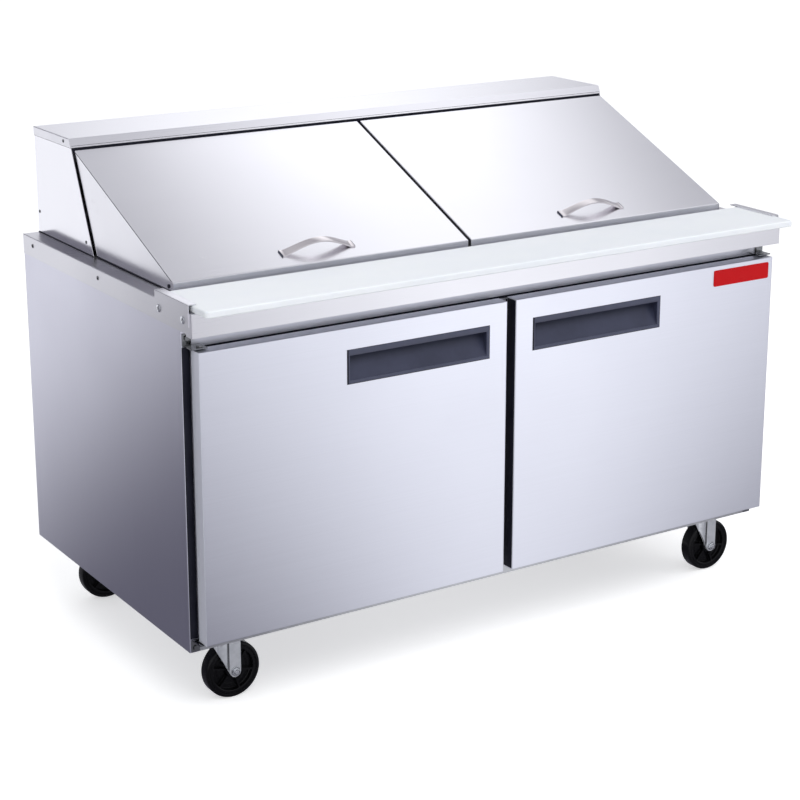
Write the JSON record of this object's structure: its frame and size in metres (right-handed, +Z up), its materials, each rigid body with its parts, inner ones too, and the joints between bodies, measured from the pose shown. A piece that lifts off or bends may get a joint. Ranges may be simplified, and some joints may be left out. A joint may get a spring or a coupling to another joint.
{
  "type": "sandwich prep table",
  "caption": "Refrigerated stainless prep table with hinged doors, lifting lids over food pans, a full-width cutting board, rear hood and swivel casters.",
  "frame": {"origin": "on the floor, under the middle of the bounding box", "axes": "+X to the right of someone at the cutting board, +Y to the rear, +Z up"},
  "size_m": [1.54, 0.893, 1.133],
  "materials": {
    "steel_side": "satin",
    "steel_door": "satin",
    "steel_top": "satin",
    "steel_hood": "satin",
    "steel_lid": "satin",
    "steel_pan": "satin",
    "galvanized": "satin",
    "liner_metal": "satin",
    "foam": "matte",
    "board_plastic": "satin",
    "door_plastic": "satin",
    "gasket_rubber": "matte",
    "handle_plastic": "satin",
    "handle_metal": "satin",
    "zinc": "satin",
    "wheel_rubber": "satin",
    "shelf_coating": "gloss",
    "compressor_paint": "gloss",
    "coil_metal": "satin",
    "shroud_paint": "satin",
    "fan_plastic": "satin",
    "copper": "satin",
    "plate_enamel": "gloss"
  },
  "bodies": {
    "cabinet": {"base_pan": "galvanized", "side_panel_left": "steel_side", "side_panel_right": "steel_side", "back_panel": "galvanized", "rear_grille": "galvanized", "face_frame": "steel_door", "countertop": "steel_top", "insulation": "foam", "liner": "liner_metal", "shelf_supports": "liner_metal", "wire_shelves": "shelf_coating", "food_pans": "steel_pan", "pan_bars": "steel_pan", "hood_top": "steel_hood", "hood_sides": "steel_hood", "hood_back": "steel_hood", "hood_lining": "steel_hood", "lid_hinges": "zinc", "board_brackets": "steel_top", "case_screws": "zinc", "door_hinges": "zinc", "caster_plates": "zinc", "compressor": "compressor_paint", "condenser_coil": "coil_metal", "fan_shroud": "shroud_paint", "evaporator_coil": "coil_metal", "evaporator_cover": "liner_metal", "refrigerant_lines": "copper", "controller": "handle_plastic", "power_inlet": "handle_plastic", "drain_pan": "galvanized"},
    "lid_left": {"lid_skin_left": "steel_lid", "lid_liner_left": "steel_lid", "lid_handle_left": "handle_metal"},
    "door_left": {"door_skin_left": "steel_door", "door_foam_left": "foam", "door_liner_left": "door_plastic", "door_gasket_left": "gasket_rubber", "door_handle_left": "handle_plastic"},
    "lid_right": {"lid_skin_right": "steel_lid", "lid_liner_right": "steel_lid", "lid_handle_right": "handle_metal"},
    "door_right": {"door_skin_right": "steel_door", "door_foam_right": "foam", "door_liner_right": "door_plastic", "door_gasket_right": "gasket_rubber", "door_handle_right": "handle_plastic", "name_plate": "plate_enamel"},
    "board": {"cutting_board": "board_plastic"},
    "condenser_rotor": {"condenser_fan": "fan_plastic"},
    "evaporator_rotor": {"evaporator_fan": "fan_plastic"},
    "caster_front_left": {"caster_fork_front_left": "zinc"},
    "wheel_front_left": {"caster_wheel_front_left": "wheel_rubber"},
    "caster_front_right": {"caster_fork_front_right": "zinc"},
    "wheel_front_right": {"caster_wheel_front_right": "wheel_rubber"},
    "caster_rear_left": {"caster_fork_rear_left": "zinc"},
    "wheel_rear_left": {"caster_wheel_rear_left": "wheel_rubber"},
    "caster_rear_right": {"caster_fork_rear_right": "zinc"},
    "wheel_rear_right": {"caster_wheel_rear_right": "wheel_rubber"}
  },
  "joints": [
    {"name": "door_left_hinge", "type": "hinge", "parent": "cabinet", "child": "door_left", "pos_m": [-0.735, -0.3675, 0.5], "axis": [0, 0, -1], "range_deg": [0, 105], "stiffness_Nm_per_rad": 3, "springref_deg": -11.46},
    {"name": "lid_left_hinge", "type": "hinge", "parent": "cabinet", "child": "lid_left", "pos_m": [-0.3625, 0.2305, 1.101], "axis": [-1, 0, 0], "range_deg": [0, 115]},
    {"name": "door_right_hinge", "type": "hinge", "parent": "cabinet", "child": "door_right", "pos_m": [0.735, -0.3675, 0.5], "axis": [0, 0, 1], "range_deg": [0, 105], "stiffness_Nm_per_rad": 3, "springref_deg": -11.46},
    {"name": "lid_right_hinge", "type": "hinge", "parent": "cabinet", "child": "lid_right", "pos_m": [0.3625, 0.2305, 1.101], "axis": [-1, 0, 0], "range_deg": [0, 115]},
    {"name": "board_slide", "type": "slide", "parent": "cabinet", "child": "board", "axis": [0, -1, 0], "range_m": [0, 0.05]},
    {"name": "condenser_fan_spin", "type": "hinge", "parent": "cabinet", "child": "condenser_rotor", "pos_m": [-0.42, 0.362, 0.345], "axis": [0, 1, 0], "continuous": true},
    {"name": "evaporator_fan_spin", "type": "hinge", "parent": "cabinet", "child": "evaporator_rotor", "pos_m": [0, 0.236, 0.662], "axis": [0, 1, 0], "continuous": true},
    {"name": "swivel_front_left", "type": "hinge", "parent": "cabinet", "child": "caster_front_left", "pos_m": [-0.662, -0.2655, 0.147], "axis": [0, 0, 1], "continuous": true},
    {"name": "roll_front_left", "type": "hinge", "parent": "caster_front_left", "child": "wheel_front_left", "pos_m": [-0.632, -0.2655, 0.0635], "axis": [0, 1, 0], "continuous": true},
    {"name": "swivel_front_right", "type": "hinge", "parent": "cabinet", "child": "caster_front_right", "pos_m": [0.662, -0.2655, 0.147], "axis": [0, 0, 1], "continuous": true},
    {"name": "roll_front_right", "type": "hinge", "parent": "caster_front_right", "child": "wheel_front_right", "pos_m": [0.692, -0.2655, 0.0635], "axis": [0, 1, 0], "continuous": true},
    {"name": "swivel_rear_left", "type": "hinge", "parent": "cabinet", "child": "caster_rear_left", "pos_m": [-0.662, 0.3715, 0.147], "axis": [0, 0, 1], "continuous": true},
    {"name": "roll_rear_left", "type": "hinge", "parent": "caster_rear_left", "child": "wheel_rear_left", "pos_m": [-0.632, 0.3715, 0.0635], "axis": [0, 1, 0], "continuous": true},
    {"name": "swivel_rear_right", "type": "hinge", "parent": "cabinet", "child": "caster_rear_right", "pos_m": [0.662, 0.3715, 0.147], "axis": [0, 0, 1], "continuous": true},
    {"name": "roll_rear_right", "type": "hinge", "parent": "caster_rear_right", "child": "wheel_rear_right", "pos_m": [0.692, 0.3715, 0.0635], "axis": [0, 1, 0], "continuous": true}
  ]
}
